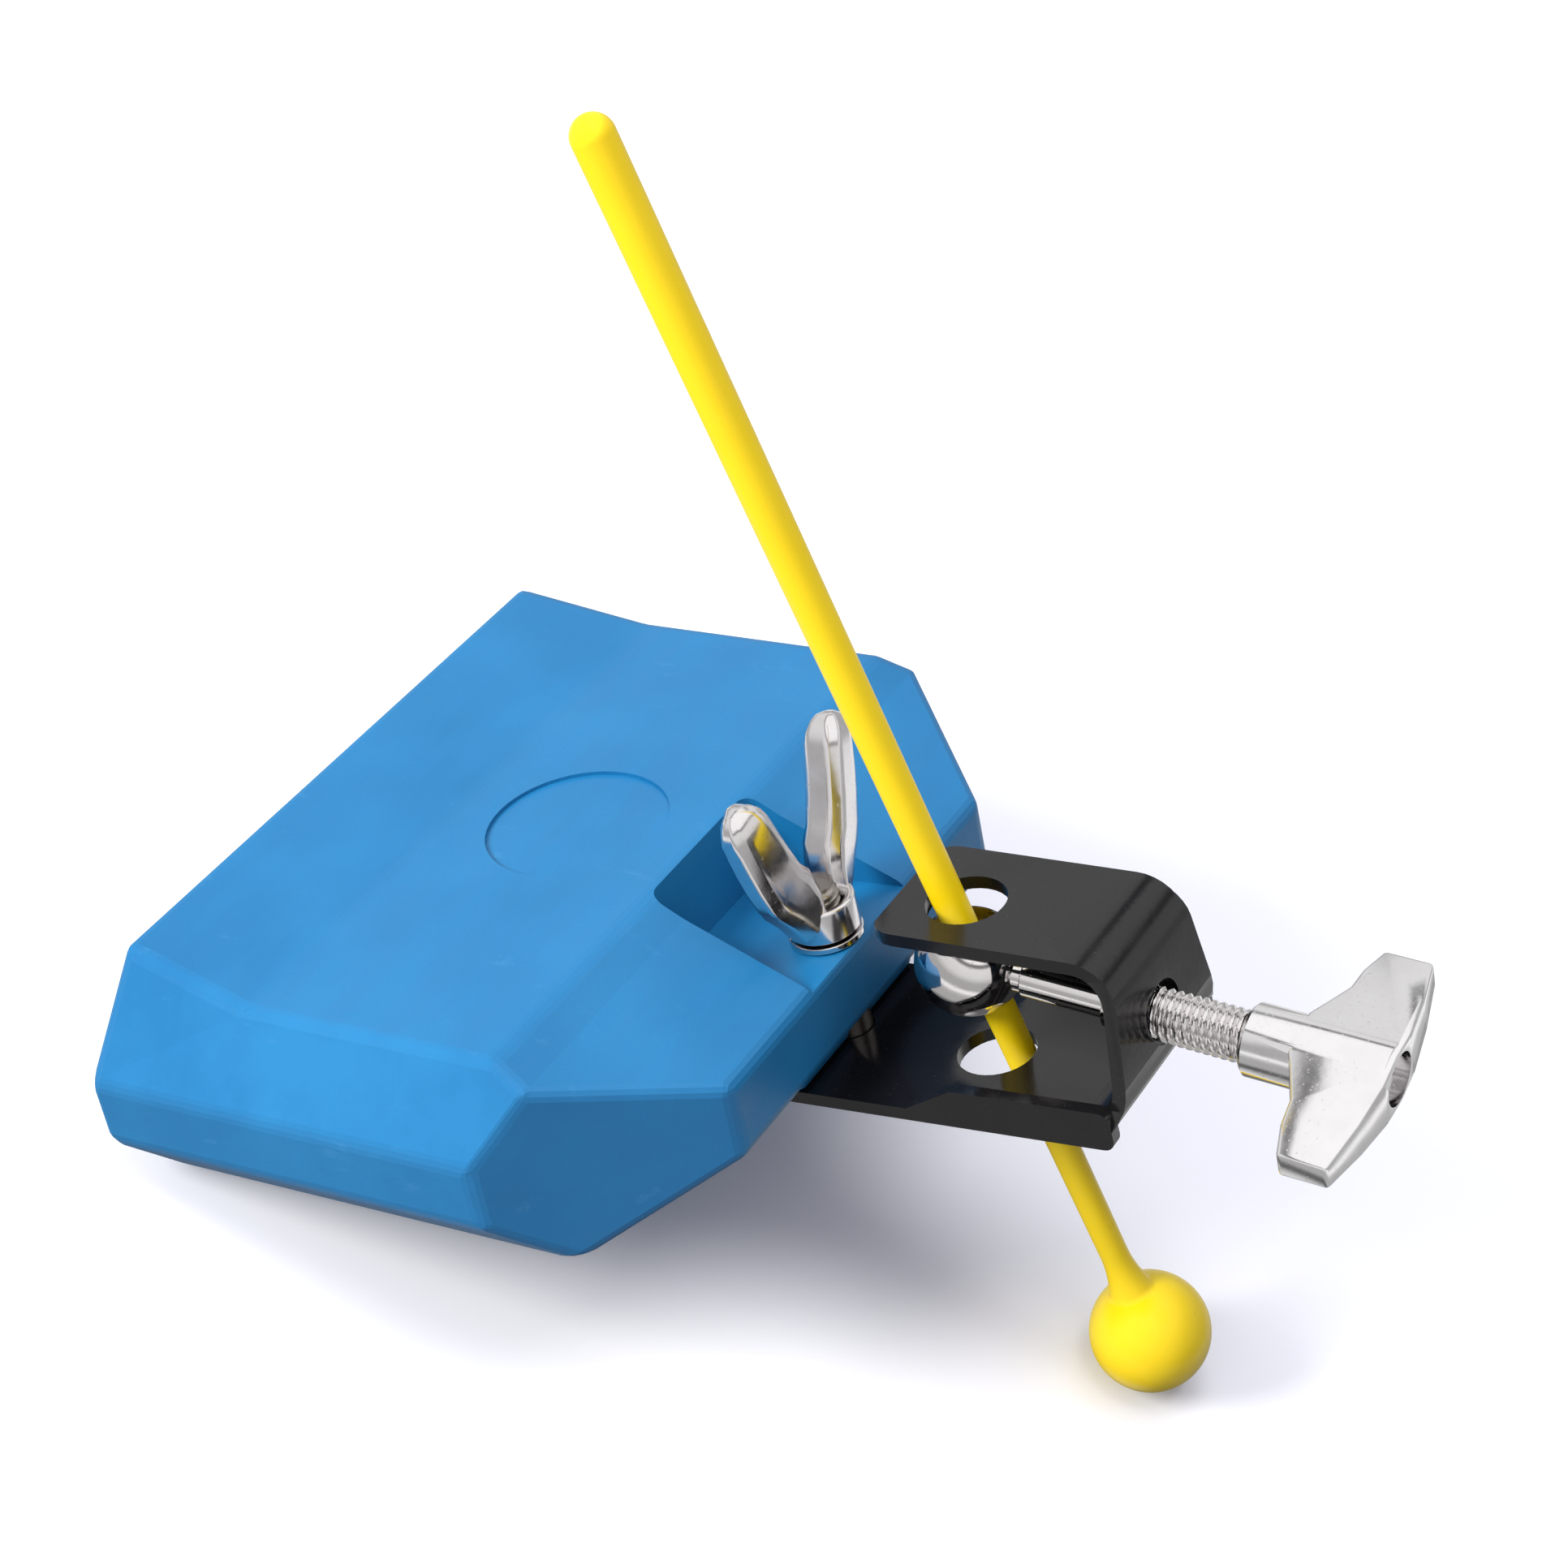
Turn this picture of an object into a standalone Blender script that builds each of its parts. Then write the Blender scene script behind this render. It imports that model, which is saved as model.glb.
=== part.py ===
"""Jam block: a hollow moulded percussion block, its clamp bracket and the mallet stored in the clamp.

Sizes are in millimetres and become metres by MM. The block is modelled in its own frame: +X to the
rear, +Y across, +Z up. The clamp, with all that it holds, has a frame of its own: its origin is on the
mounting bolt's axis at the pocket's floor, and it leans with the seats moulded into the block. An
empty tips the whole assembly so that it stands on the block's lower front edge and the mallet's ball.
"""

from math import asin, atan2, cos, pi, radians, sin, tau

import bmesh
import bpy
from mathutils import Matrix, Vector

MM = 0.001
GAP = 0.3  # clearance left between pieces that touch

# Block: the upper side has a raised striking lip, the underside is flat
LIP_X, LIP_HALF_WIDTH, LIP_Z = -103.5, 64.5, 28.8
VALLEY_X, VALLEY_HALF_WIDTH, DECK_Z = -75.0, 67.4, 22.3
CREST_X, CREST_HALF_WIDTH = -22.9, 67.4
BROW_X, BROW_HALF_WIDTH, BROW_Z = -16.2, 69.3, 18.5
REAR_X, REAR_HALF_WIDTH, REAR_Z = 8.2, 45.6, 7.5
BASE_HALF_WIDTH, BASE_Z = 67.6, 18.5
NOSE_X = -109.0
END_HALF_WIDTH, END_Z = 78.0, 6.5  # upright end faces
BLOCK_EDGE_RADIUS = 1.8

# Sound chamber, open at the front and drafted towards the back
MOUTH_HALF_WIDTH, MOUTH_TOP_Z, MOUTH_LOW_Z = 59.0, 18.0, -14.5
CHAMBER_BACK_X = -36.0
CHAMBER_DRAFT = 1.5
CHAMBER_CORNER_RADIUS = 6.0

# Plain round recess on the deck
DISC_X, DISC_RADIUS, DISC_DEPTH = -49.2, 17.3, 0.7

# The clamp's frame in the block's frame
SEAT_X, SEAT_Z, SEAT_TILT = 1.3, 6.7, 3.5

# Seats: the nut's pocket above, the arm's recess and boss below
POCKET_HALF_WIDTH, POCKET_FRONT_X = 17.0, -23.5
POCKET_CORNER_RADIUS = 3.0
SEAT_SIDE_CLEARANCE = 0.5
BOSS_FRONT_X, BOSS_REAR_X, BOSS_TOP_Z = -14.0, 1.8, -8.0
BOSS_EDGE_RADIUS = 1.2

# Bracket, bent from one blank that narrows towards the flange
STRIP_THICKNESS = 2.5
FLANGE_END_X, FLANGE_ROOT_Z = 18.8, 11.3
FLANGE_OPEN = 2.3  # degrees by which the flange opens
WEB_OUTER_X, TOP_BEND_RADIUS, LOW_BEND_RADIUS = 65.8, 8.5, 11.0
ARM_END_X, ARM_LOW_Z = -13.0, -22.4
FLANGE_HALF_WIDTH, WEB_LOW_HALF_WIDTH, ARM_HALF_WIDTH = 13.8, 18.0, 20.3
TAPER_TOP_Z, TAPER_LOW_Z = 8.0, -15.5
FLANGE_CORNER_RADIUS, ARM_CORNER_RADIUS = 4.5, 8.0
FLANGE_HOLE_X, FLANGE_HOLE_Y = 32.1, -1.2
ARM_HOLE_X, ARM_HOLE_Y = 30.8, -1.1
ROD_HOLE_RADIUS = 7.3
LIP_START_X, LIP_RAMP, LIP_HEIGHT, LIP_END_X = 20.5, 12.0, 7.7, 63.2  # turned-up lips beside the arm
LIP_CORNER = 2.2

# Mounting bolt, washer and wing nut
BOLT_RADIUS, BOLT_END_Z = 3.95, 11.0
BOLT_HEAD_RADIUS, BOLT_HEAD_HEIGHT, BOLT_HEAD_RIM = 8.5, 4.2, 1.2
TIP_CHAMFER, CAST_CHAMFER = 0.8, 0.7  # on the bolts' ends, and on the cast nuts' hubs
BOLT_HOLE_CLEARANCE = 0.3
WASHER_RADIUS, WASHER_THICKNESS = 6.9, 1.2
NUT_BASE_RADIUS, NUT_TOP_RADIUS, NUT_HEIGHT = 6.7, 6.4, 8.3
NUT_BORE_CLEARANCE = 0.15
WING_TIP_Y, WING_TIP_Z, WING_TIP_RADIUS = 14.9, 31.2, 6.0
WING_ROOT_Y, WING_ROOT_Z, WING_ROOT_RADIUS = 5.6, 8.6, 3.8
WING_INNER_THICKNESS, WING_OUTER_THICKNESS = 8.6, 5.2
WING_EDGE_RADIUS = 0.8

# Eye bolt: its line passes through the web's hole and sags outwards
LINE_X, LINE_Y, LINE_Z, LINE_SAG = 64.0, -0.4, -7.2, 9.5
WEB_HOLE_RADIUS = 5.8
EYE_DISTANCE = 35.3  # from the web's hole to the eye's centre, along the line
EYE_RADIUS, EYE_BORE_RADIUS, EYE_HALF_HEIGHT = 9.8, 6.9, 6.6
COLLAR_RADIUS, COLLAR_LENGTH = 3.5, 17.5
SHANK_RADIUS, SHANK_END_DISTANCE = 4.7, 41.5

# Tee nut, measured inwards from its outer face
TEE_FACE_DISTANCE = 44.4  # from the web's hole to the outer face
HUB_LENGTH, HUB_RADIUS = 26.6, 6.5
TEE_HALF_SPAN, TEE_TIP_DEPTH, TEE_TIP_SETBACK = 23.6, 8.8, 3.1
TEE_ROOT_DEPTH, TEE_ROOT_Y = 17.6, 4.5
TEE_KNEE_DEPTH, TEE_KNEE_Y = 12.9, 13.0
TEE_THICKNESS, TEE_TIP_THICKNESS = 12.1, 5.3
TEE_EDGE_RADIUS = 0.7
TEE_TURN = 11.0  # degrees about the line
TEE_BORE_CLEARANCE = 0.15

# Mallet, one moulding: where its axis crosses the flange's and the arm's level
STICK_TOP, STICK_LOW = (28.4, -1.0, 12.1), (33.0, 1.8, -19.9)
BALL_DISTANCE, HANDLE_LENGTH = 102.3, 153.3  # along the stick from the flange's level
BALL_RADIUS = 11.35
STICK_BALL_RADIUS, STICK_END_RADIUS = 2.65, 3.8
NECK_LENGTH, NECK_RADIUS = 9.0, 4.2

ROUND_STEPS = 32
CORNER_STEPS = 5

arm_top_z = ARM_LOW_Z + STRIP_THICKNESS
washer_low_z = GAP
nut_low_z = washer_low_z + WASHER_THICKNESS + GAP
clamp_frame = Matrix.Translation((SEAT_X, 0, SEAT_Z)) @ Matrix.Rotation(-radians(SEAT_TILT), 4, "Y")


def clear_scene():
    for obj in list(bpy.data.objects):
        bpy.data.objects.remove(obj, do_unlink=True)


def plain_material(name, colour, roughness, metallic):
    material = bpy.data.materials.new(name)
    material.use_nodes = True
    shader = material.node_tree.nodes["Principled BSDF"]
    shader.inputs["Base Color"].default_value = (*colour, 1.0)
    shader.inputs["Roughness"].default_value = roughness
    shader.inputs["Metallic"].default_value = metallic
    return material


def finish_mesh(bm, name, material=None, smooth_angle=None):
    """Turns a bmesh in millimetres into an object in metres."""
    bmesh.ops.remove_doubles(bm, verts=bm.verts, dist=1e-4)
    bmesh.ops.recalc_face_normals(bm, faces=bm.faces)
    bmesh.ops.scale(bm, vec=(MM, MM, MM), verts=bm.verts)
    mesh = bpy.data.meshes.new(name)
    bm.to_mesh(mesh)
    bm.free()
    if smooth_angle is not None:
        mesh.shade_smooth()
        mesh.set_sharp_from_angle(angle=radians(smooth_angle))
    obj = bpy.data.objects.new(name, mesh)
    bpy.context.scene.collection.objects.link(obj)
    if material:
        mesh.materials.append(material)
    return obj


def moved(bm, matrix):
    bmesh.ops.transform(bm, matrix=matrix, verts=bm.verts)
    return bm


def boolean(obj, operation, other):
    modifier = obj.modifiers.new(f"{operation.title()} {other.name}", "BOOLEAN")
    modifier.operation = operation
    modifier.solver = "EXACT"
    modifier.object = other
    other.hide_render = True
    other.display_type = "WIRE"


def bevelled(obj, width, segments, angle=30.0):
    modifier = obj.modifiers.new("Rounded edges", "BEVEL")
    modifier.width = width * MM
    modifier.segments = segments
    modifier.limit_method = "ANGLE"
    modifier.angle_limit = radians(angle)


def prism(points, low, high, axis):
    """A bmesh that holds a flat outline extruded along an axis from low to high."""
    order = {
        "x": lambda a, b, t: (t, a, b),
        "y": lambda a, b, t: (a, t, b),
        "z": lambda a, b, t: (a, b, t),
    }[axis]
    bm = bmesh.new()
    face = bm.faces.new([bm.verts.new(order(a, b, low)) for a, b in points])
    grown = bmesh.ops.extrude_face_region(bm, geom=[face])
    top = [item for item in grown["geom"] if isinstance(item, bmesh.types.BMVert)]
    bmesh.ops.translate(bm, vec=order(0, 0, high - low), verts=top)
    return bm


def turned(profile, steps=ROUND_STEPS):
    """A bmesh that turns (radius, height) points about Z; an end on the axis closes by itself."""
    bm = bmesh.new()
    ring = [bm.verts.new((radius, 0, height)) for radius, height in profile]
    edges = [bm.edges.new(pair) for pair in zip(ring, ring[1:])]
    if profile[0][0] > 0 and profile[-1][0] > 0:
        edges.append(bm.edges.new((ring[-1], ring[0])))
    bmesh.ops.spin(
        bm, geom=ring + edges, cent=(0, 0, 0), axis=(0, 0, 1), angle=tau, steps=steps, use_merge=True
    )
    return bm


def rod(radius, low, high):
    return turned([(0, low), (radius, low), (radius, high), (0, high)])


def lying(bm):
    """Turns a piece built about Z so that its axis lies along +X."""
    return moved(bm, Matrix.Rotation(pi / 2, 4, "Y"))


def arc(centre, radius, start, end, steps=CORNER_STEPS):
    """Points of an arc, both ends included; angles in degrees."""
    turn = [radians(start + (end - start) * i / steps) for i in range(steps + 1)]
    return [(centre[0] + radius * cos(a), centre[1] + radius * sin(a)) for a in turn]


def rounded_rectangle(low, high, radius):
    (x0, y0), (x1, y1) = low, high
    corners = [
        ((x1 - radius, y0 + radius), -90),
        ((x1 - radius, y1 - radius), 0),
        ((x0 + radius, y1 - radius), 90),
        ((x0 + radius, y0 + radius), 180),
    ]
    return [point for centre, start in corners for point in arc(centre, radius, start, start + 90)]


def corner_plane_x(half_width):
    """X where the upright plane that cuts the rear corners has this half width."""
    slope = (REAR_X - BROW_X) / (BROW_HALF_WIDTH - REAR_HALF_WIDTH)
    return BROW_X + (BROW_HALF_WIDTH - half_width) * slope


def block_blank():
    """The block's faceted outer form, from corner points mirrored across the middle."""
    corners = {
        "lip": (LIP_X, LIP_HALF_WIDTH, LIP_Z),
        "valley": (VALLEY_X, VALLEY_HALF_WIDTH, DECK_Z),
        "crest": (CREST_X, CREST_HALF_WIDTH, DECK_Z),
        "brow": (BROW_X, BROW_HALF_WIDTH, BROW_Z),
        "rear": (REAR_X, REAR_HALF_WIDTH, REAR_Z),
        "nose": (NOSE_X, END_HALF_WIDTH, END_Z),
        "end": (corner_plane_x(END_HALF_WIDTH), END_HALF_WIDTH, END_Z),
        "low_lip": (LIP_X, BASE_HALF_WIDTH, -BASE_Z),
        "low_brow": (corner_plane_x(BASE_HALF_WIDTH), BASE_HALF_WIDTH, -BASE_Z),
        "low_rear": (REAR_X, REAR_HALF_WIDTH, -REAR_Z),
        "low_nose": (NOSE_X, END_HALF_WIDTH, -END_Z),
        "low_end": (corner_plane_x(END_HALF_WIDTH), END_HALF_WIDTH, -END_Z),
    }
    bm = bmesh.new()
    far, near = (
        {name: bm.verts.new((x, y * side, z)) for name, (x, y, z) in corners.items()} for side in (1, -1)
    )
    girdle = ["nose", "lip", "valley", "crest", "brow", "rear", "low_rear", "low_brow", "low_lip", "low_nose"]
    for a, b in zip(girdle, girdle[1:] + girdle[:1]):
        bm.faces.new([near[a], near[b], far[b], far[a]])
    end_facets = (
        ("lip", "valley", "nose"),
        ("valley", "crest", "end", "nose"),
        ("crest", "brow", "end"),
        ("nose", "end", "low_end", "low_nose"),
        ("end", "brow", "rear", "low_rear", "low_brow", "low_end"),
        ("low_lip", "low_brow", "low_end", "low_nose"),
    )
    for side in (far, near):
        for names in end_facets:
            bm.faces.new([side[name] for name in names])
    return bm


def chamber_cutter():
    """The tapered core that leaves the sound chamber, wider at the mouth."""
    bm = bmesh.new()
    for x, draft in ((NOSE_X - 5, 0.0), (CHAMBER_BACK_X, CHAMBER_DRAFT)):
        low = (draft - MOUTH_HALF_WIDTH, MOUTH_LOW_Z + draft)
        high = (MOUTH_HALF_WIDTH - draft, MOUTH_TOP_Z - draft)
        outline = rounded_rectangle(low, high, CHAMBER_CORNER_RADIUS)
        bm.faces.new([bm.verts.new((x, y, z)) for y, z in outline])
    bmesh.ops.bridge_loops(bm, edges=bm.edges[:])
    return finish_mesh(bm, "chamber_cutter")


def seat_cutter(name, front_x, half_width, low, high):
    """A recess with its floor parallel to the clamp, open to the rear."""
    outline = rounded_rectangle((front_x, -half_width), (REAR_X + 30, half_width), POCKET_CORNER_RADIUS)
    return finish_mesh(moved(prism(outline, low, high, "z"), clamp_frame), name)


def arm_boss():
    """The block under the rear slope that carries the arm as far as the rear face."""
    half = ARM_HALF_WIDTH + SEAT_SIDE_CLEARANCE
    outline = [
        (BOSS_FRONT_X, -half),
        (BOSS_REAR_X, -half),
        (BOSS_REAR_X, half),
        (BOSS_FRONT_X, half),
    ]
    bm = moved(prism(outline, arm_top_z + GAP, BOSS_TOP_Z, "z"), clamp_frame)
    boss = finish_mesh(bm, "arm_boss")
    bevelled(boss, BOSS_EDGE_RADIUS, 2)
    return boss


def block_body(material):
    body = finish_mesh(block_blank(), "block_body", material, 40)
    bevelled(body, BLOCK_EDGE_RADIUS, 3, 12)
    boolean(body, "UNION", arm_boss())
    boolean(body, "DIFFERENCE", chamber_cutter())
    pocket = seat_cutter("pocket_cutter", POCKET_FRONT_X, POCKET_HALF_WIDTH, 0, 40)
    boolean(body, "DIFFERENCE", pocket)
    arm_front = ARM_END_X - SEAT_SIDE_CLEARANCE
    arm_half = ARM_HALF_WIDTH + SEAT_SIDE_CLEARANCE
    recess = seat_cutter("recess_cutter", arm_front, arm_half, -50, arm_top_z + GAP)
    boolean(body, "DIFFERENCE", recess)
    outline = arc((DISC_X, 0), DISC_RADIUS, 0, 352.5, 47)
    disc = finish_mesh(prism(outline, DECK_Z - DISC_DEPTH, DECK_Z + 5, "z"), "disc_cutter")
    boolean(body, "DIFFERENCE", disc)
    hole = moved(rod(BOLT_RADIUS + BOLT_HOLE_CLEARANCE, -40, 40), clamp_frame)
    boolean(body, "DIFFERENCE", finish_mesh(hole, "bolt_cutter"))
    return body


def strip_outline():
    """The bent strip in the clamp's XZ plane, from the flange's free end round to the arm's end."""
    t = STRIP_THICKNESS
    up = 90 - FLANGE_OPEN
    normal = Vector((cos(radians(up)), sin(radians(up))))
    back = Vector((-normal.y, normal.x))
    top = Vector((WEB_OUTER_X - TOP_BEND_RADIUS, FLANGE_ROOT_Z - TOP_BEND_RADIUS))
    low = (WEB_OUTER_X - LOW_BEND_RADIUS, ARM_LOW_Z + LOW_BEND_RADIUS)
    reach = (top.x - FLANGE_END_X) / abs(back.x)
    outer_end = top + normal * TOP_BEND_RADIUS + back * reach
    inner_end = outer_end - normal * t
    outline = [tuple(outer_end)]
    outline += arc(top, TOP_BEND_RADIUS, up, 0, 8)
    outline += arc(low, LOW_BEND_RADIUS, 0, -90, 8)
    outline += [(ARM_END_X, ARM_LOW_Z), (ARM_END_X, arm_top_z)]
    outline += arc(low, LOW_BEND_RADIUS - t, -90, 0, 8)
    outline += arc(top, TOP_BEND_RADIUS - t, 0, up, 8)
    return outline + [tuple(inner_end)]


def taper_form():
    """The blank's side edges seen along X: narrow at the flange, wide at the arm."""
    right = [
        (ARM_HALF_WIDTH, ARM_LOW_Z - 5),
        (ARM_HALF_WIDTH, arm_top_z + 1.5),
        (WEB_LOW_HALF_WIDTH, TAPER_LOW_Z),
        (FLANGE_HALF_WIDTH, TAPER_TOP_Z),
        (FLANGE_HALF_WIDTH, FLANGE_ROOT_Z + 10),
    ]
    left = [(-y, z) for y, z in reversed(right)]
    return finish_mesh(prism(right + left, ARM_END_X - 10, WEB_OUTER_X + 10, "x"), "taper_form")


def corner_cutter(name, end_x, half_width, radius, low, high):
    """Takes a strip's two free corners off to a radius."""
    far = [(end_x - 3, half_width + 3), (end_x - 3, half_width - radius), (end_x, half_width - radius)]
    far += arc((end_x + radius, half_width - radius), radius, 180, 90)
    far += [(end_x + radius, half_width + 3)]
    near = [(x, -y) for x, y in reversed(far)]
    cutters = []
    for side, outline in (("far", far), ("near", near)):
        cutters.append(finish_mesh(prism(outline, low, high, "z"), f"{name}_{side}"))
    return cutters


def arm_lip(side):
    """A turned-up lip beside the arm, ramped towards the block and rounded beside the web."""
    high = ARM_LOW_Z + LIP_HEIGHT
    outline = [(LIP_START_X, ARM_LOW_Z), (LIP_START_X, ARM_LOW_Z + 1.5), (LIP_START_X + LIP_RAMP, high)]
    outline += arc((LIP_END_X - LIP_CORNER, high - LIP_CORNER), LIP_CORNER, 90, 0)
    outline += arc((LIP_END_X - LIP_CORNER, ARM_LOW_Z + LIP_CORNER), LIP_CORNER, 0, -90)
    low_y, high_y = sorted((side * (ARM_HALF_WIDTH - STRIP_THICKNESS), side * ARM_HALF_WIDTH))
    return finish_mesh(prism(outline, low_y, high_y, "y"), f"arm_lip_{'far' if side > 0 else 'near'}")


def clamp_bracket(material):
    blank = prism(strip_outline(), -ARM_HALF_WIDTH - 1, ARM_HALF_WIDTH + 1, "y")
    bracket = finish_mesh(blank, "clamp_bracket", material, 30)
    boolean(bracket, "INTERSECT", taper_form())
    corners = corner_cutter(
        "flange_corner", FLANGE_END_X, FLANGE_HALF_WIDTH, FLANGE_CORNER_RADIUS, 0, FLANGE_ROOT_Z + 10
    )
    corners += corner_cutter(
        "arm_corner", ARM_END_X, ARM_HALF_WIDTH, ARM_CORNER_RADIUS, ARM_LOW_Z - 5, arm_top_z + 5
    )
    for cutter in corners:
        boolean(bracket, "DIFFERENCE", cutter)
    for side in (-1, 1):
        boolean(bracket, "UNION", arm_lip(side))
    flange_hole = moved(rod(ROD_HOLE_RADIUS, 0, 20), Matrix.Translation((FLANGE_HOLE_X, FLANGE_HOLE_Y, 0)))
    arm_hole = moved(rod(ROD_HOLE_RADIUS, -30, -12), Matrix.Translation((ARM_HOLE_X, ARM_HOLE_Y, 0)))
    web_hole = lying(rod(WEB_HOLE_RADIUS, -10, 10))
    moved(web_hole, Matrix.Translation((LINE_X, 0, LINE_Z)))
    boolean(bracket, "DIFFERENCE", finish_mesh(flange_hole, "flange_hole"))
    boolean(bracket, "DIFFERENCE", finish_mesh(arm_hole, "arm_hole"))
    boolean(bracket, "DIFFERENCE", finish_mesh(web_hole, "web_hole"))
    bolt_hole = rod(BOLT_RADIUS + BOLT_HOLE_CLEARANCE, -30, -12)
    boolean(bracket, "DIFFERENCE", finish_mesh(bolt_hole, "bolt_hole"))
    return bracket


def mounting_bolt(material):
    """A round-headed bolt up through the arm and the block."""
    seat = ARM_LOW_Z - GAP
    crown = BOLT_HEAD_HEIGHT - BOLT_HEAD_RIM
    profile = [(0, seat - BOLT_HEAD_HEIGHT)]
    for i in range(1, 7):
        a = pi / 2 * i / 6
        profile.append((BOLT_HEAD_RADIUS * sin(a), seat - BOLT_HEAD_RIM - crown * cos(a)))
    profile += [(BOLT_HEAD_RADIUS, seat), (BOLT_RADIUS, seat)]
    profile += [(BOLT_RADIUS, BOLT_END_Z - TIP_CHAMFER), (BOLT_RADIUS - TIP_CHAMFER, BOLT_END_Z)]
    profile.append((0, BOLT_END_Z))
    return finish_mesh(turned(profile), "mounting_bolt", material, 35)


def flat_washer(material):
    inner = BOLT_RADIUS + BOLT_HOLE_CLEARANCE
    profile = [(inner, 0), (WASHER_RADIUS, 0), (WASHER_RADIUS, WASHER_THICKNESS), (inner, WASHER_THICKNESS)]
    washer = finish_mesh(turned(profile), "flat_washer", material, 35)
    washer.location.z = washer_low_z * MM
    return washer


def wing_outline():
    """One wing in the YZ plane: two circles joined by their outer tangents."""
    root = Vector((WING_ROOT_Y, WING_ROOT_Z - nut_low_z))
    tip = Vector((WING_TIP_Y, WING_TIP_Z - nut_low_z))
    run = tip - root
    lean = atan2(run.y, run.x)
    flare = asin((WING_TIP_RADIUS - WING_ROOT_RADIUS) / run.length)
    a = (lean + pi / 2 + flare) * 180 / pi
    b = (lean - pi / 2 - flare) * 180 / pi
    return arc(tip, WING_TIP_RADIUS, b, a, 12) + arc(root, WING_ROOT_RADIUS, a, b + 360, 8)


def wing_form(side):
    """A wing whose broad faces draw together from its inner side to its outer side."""
    outline = [(side * y, z) for y, z in wing_outline()]
    bm = prism(outline, -1, 1, "x")
    tip = Vector((WING_TIP_Y, WING_TIP_Z - nut_low_z))
    run = tip - Vector((WING_ROOT_Y, WING_ROOT_Z - nut_low_z))
    outward = Vector((run.y, -run.x)).normalized()
    middle = (WING_INNER_THICKNESS + WING_OUTER_THICKNESS) / 4
    change = (WING_INNER_THICKNESS - WING_OUTER_THICKNESS) / 4
    for vertex in bm.verts:
        reach = outward.dot(Vector((side * vertex.co.y, vertex.co.z)) - tip) / WING_TIP_RADIUS
        vertex.co.x *= middle - change * reach
    return bm


def wing_nut(material):
    profile = [(0, 0), (NUT_BASE_RADIUS - CAST_CHAMFER, 0), (NUT_BASE_RADIUS, CAST_CHAMFER)]
    profile += [(NUT_TOP_RADIUS, NUT_HEIGHT - CAST_CHAMFER), (NUT_TOP_RADIUS - CAST_CHAMFER, NUT_HEIGHT)]
    profile.append((0, NUT_HEIGHT))
    nut = finish_mesh(turned(profile), "wing_nut", material, 40)
    for side, label in ((1, "far"), (-1, "near")):
        wing = finish_mesh(wing_form(side), f"wing_{label}")
        bevelled(wing, WING_EDGE_RADIUS, 3)
        boolean(nut, "UNION", wing)
    bore = rod(BOLT_RADIUS + NUT_BORE_CLEARANCE, -5, NUT_HEIGHT + 30)
    boolean(nut, "DIFFERENCE", finish_mesh(bore, "nut_bore"))
    nut.location.z = nut_low_z * MM
    return nut


def eye_bolt(material):
    """A ball-shaped eye with an upright bore, on a round shank that runs out along the line."""
    latitude = asin(EYE_HALF_HEIGHT / EYE_RADIUS)
    profile = [(EYE_BORE_RADIUS, -EYE_HALF_HEIGHT)]
    for i in range(11):
        a = latitude * (i / 5 - 1)
        profile.append((EYE_RADIUS * cos(a), EYE_RADIUS * sin(a)))
    profile.append((EYE_BORE_RADIUS, EYE_HALF_HEIGHT))
    eye = finish_mesh(moved(turned(profile), Matrix.Translation((-EYE_DISTANCE, 0, 0))), "eye_bolt", material, 40)
    start = EYE_BORE_RADIUS + 0.9 - EYE_DISTANCE
    shoulder = EYE_RADIUS + COLLAR_LENGTH - EYE_DISTANCE
    profile = [(0, start), (COLLAR_RADIUS, start), (COLLAR_RADIUS, shoulder), (SHANK_RADIUS, shoulder + 0.6)]
    profile.append((SHANK_RADIUS, SHANK_END_DISTANCE - TIP_CHAMFER))
    profile += [(SHANK_RADIUS - TIP_CHAMFER, SHANK_END_DISTANCE), (0, SHANK_END_DISTANCE)]
    boolean(eye, "UNION", finish_mesh(lying(turned(profile)), "eye_shank"))
    return eye


def tee_plan():
    """The tee's bar seen from above: a bowed outer face, square tips and hollowed inner sides."""
    half = [
        (0.0, TEE_HALF_SPAN * 0.25),
        (-TEE_TIP_SETBACK * 0.35, TEE_HALF_SPAN * 0.6),
        (-TEE_TIP_SETBACK, TEE_HALF_SPAN),
        (-TEE_TIP_SETBACK - TEE_TIP_DEPTH, TEE_HALF_SPAN),
        (-TEE_KNEE_DEPTH - 0.6, (TEE_KNEE_Y + TEE_HALF_SPAN) / 2 - 0.6),
        (-TEE_KNEE_DEPTH - 0.9, TEE_KNEE_Y),
        (-TEE_ROOT_DEPTH + 1.6, (TEE_ROOT_Y + TEE_KNEE_Y) / 2 - 0.8),
        (-TEE_ROOT_DEPTH, TEE_ROOT_Y),
    ]
    return half + [(x, -y) for x, y in reversed(half)]


def tee_section():
    """The bar seen along the line: thick in the middle, thinner at the tips."""
    reach, middle, tip = TEE_HALF_SPAN + 2, TEE_THICKNESS / 2, TEE_TIP_THICKNESS / 2
    slope = (middle - tip) / TEE_HALF_SPAN
    end = middle - slope * reach
    return [(-reach, -end), (0, -middle), (reach, -end), (reach, end), (0, middle), (-reach, end)]


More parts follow.
